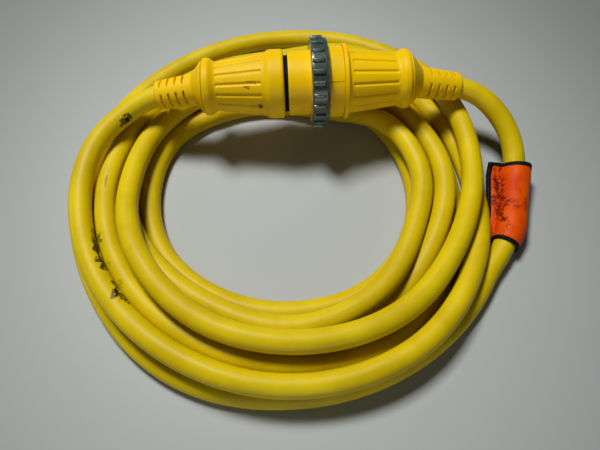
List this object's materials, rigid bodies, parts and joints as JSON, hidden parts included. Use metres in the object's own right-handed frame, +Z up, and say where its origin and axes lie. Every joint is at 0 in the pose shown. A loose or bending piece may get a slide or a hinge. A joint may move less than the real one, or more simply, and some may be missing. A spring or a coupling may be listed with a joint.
{
  "type": "shore power cord",
  "caption": "Coiled yellow shore power cord whose plug and connector are joined by a threaded locking ring, with strain relief boots and an orange cloth tag on the cord",
  "frame": {"origin": "On the ground, under the middle of the joined plug and connector with the cloth tag; the coiled cord lies about it", "axes": "+X along the couplers from the plug to the connector, +Y to the back, +Z up"},
  "size_m": [0.3772, 0.3575, 0.0941],
  "materials": {
    "jacket": "semi-gloss vinyl jacket, lightly scuffed",
    "tag_cloth": "coated orange cloth, creased and soiled",
    "tag_edge": "black woven binding tape",
    "housing": "satin moulded yellow thermoplastic",
    "boot": "soft moulded yellow vinyl",
    "insulator": "matte black nylon",
    "ring_plastic": "weathered dark grey nylon with worn rib edges",
    "seal": "black rubber",
    "brass": "bare brass",
    "steel": "plated steel",
    "wire_black": "smooth insulation",
    "wire_white": "smooth insulation",
    "wire_green": "smooth insulation"
  },
  "bodies": {
    "connector": {"cord_coil": "jacket", "cord_lead_plug": "jacket", "cord_lead_connector": "jacket", "tag_sleeve": "tag_cloth", "tag_binding": "tag_edge", "connector_body": "housing", "connector_nose": "housing", "nose_screws": "steel", "connector_boot": "boot", "connector_face": "insulator", "contact_line": "brass", "contact_neutral": "brass", "contact_ground": "brass", "connector_terminal_screws": "steel", "connector_clamp": "steel", "connector_clamp_screws": "brass", "connector_cord_end": "jacket", "connector_wire_line": "wire_black", "connector_wire_neutral": "wire_white", "connector_wire_ground": "wire_green"},
    "ring_carriage": {"ring_washer": "seal"},
    "ring": {"locking_ring": "ring_plastic"},
    "sleeve": {"plug_collar": "housing", "collar_gasket": "seal"},
    "plug": {"collar_snap_ring": "steel", "plug_body": "housing", "plug_boot": "boot", "plug_face": "insulator", "lock_pin": "steel", "blade_line": "brass", "blade_neutral": "brass", "blade_ground": "brass", "plug_terminal_screws": "steel", "plug_clamp": "steel", "plug_clamp_screws": "brass", "plug_cord_end": "jacket", "plug_wire_line": "wire_black", "plug_wire_neutral": "wire_white", "plug_wire_ground": "wire_green"}
  },
  "joints": [
    {"name": "ring_slide", "type": "slide", "parent": "connector", "child": "ring_carriage", "axis": [1, 0, 0], "range_m": [0, 0.0075]},
    {"name": "ring_turn", "type": "hinge", "parent": "ring_carriage", "child": "ring", "pos_m": [-0.0196, 0.0485, 0.0578], "axis": [1, 0, 0], "range_deg": [0, 1080]},
    {"name": "plug_pull", "type": "slide", "parent": "connector", "child": "sleeve", "axis": [-1, 0, 0], "range_m": [0, 0.03], "deforming": ["cord_lead_plug"]},
    {"name": "plug_twist", "type": "hinge", "parent": "sleeve", "child": "plug", "pos_m": [-0.0196, 0.0485, 0.0578], "axis": [1, 0, 0], "range_deg": [0, 15], "deforming": ["cord_lead_plug"]}
  ],
  "couplings": [
    {"joint": "ring_slide", "follows": "ring_turn", "m_per_rad": 0.00039789}
  ]
}
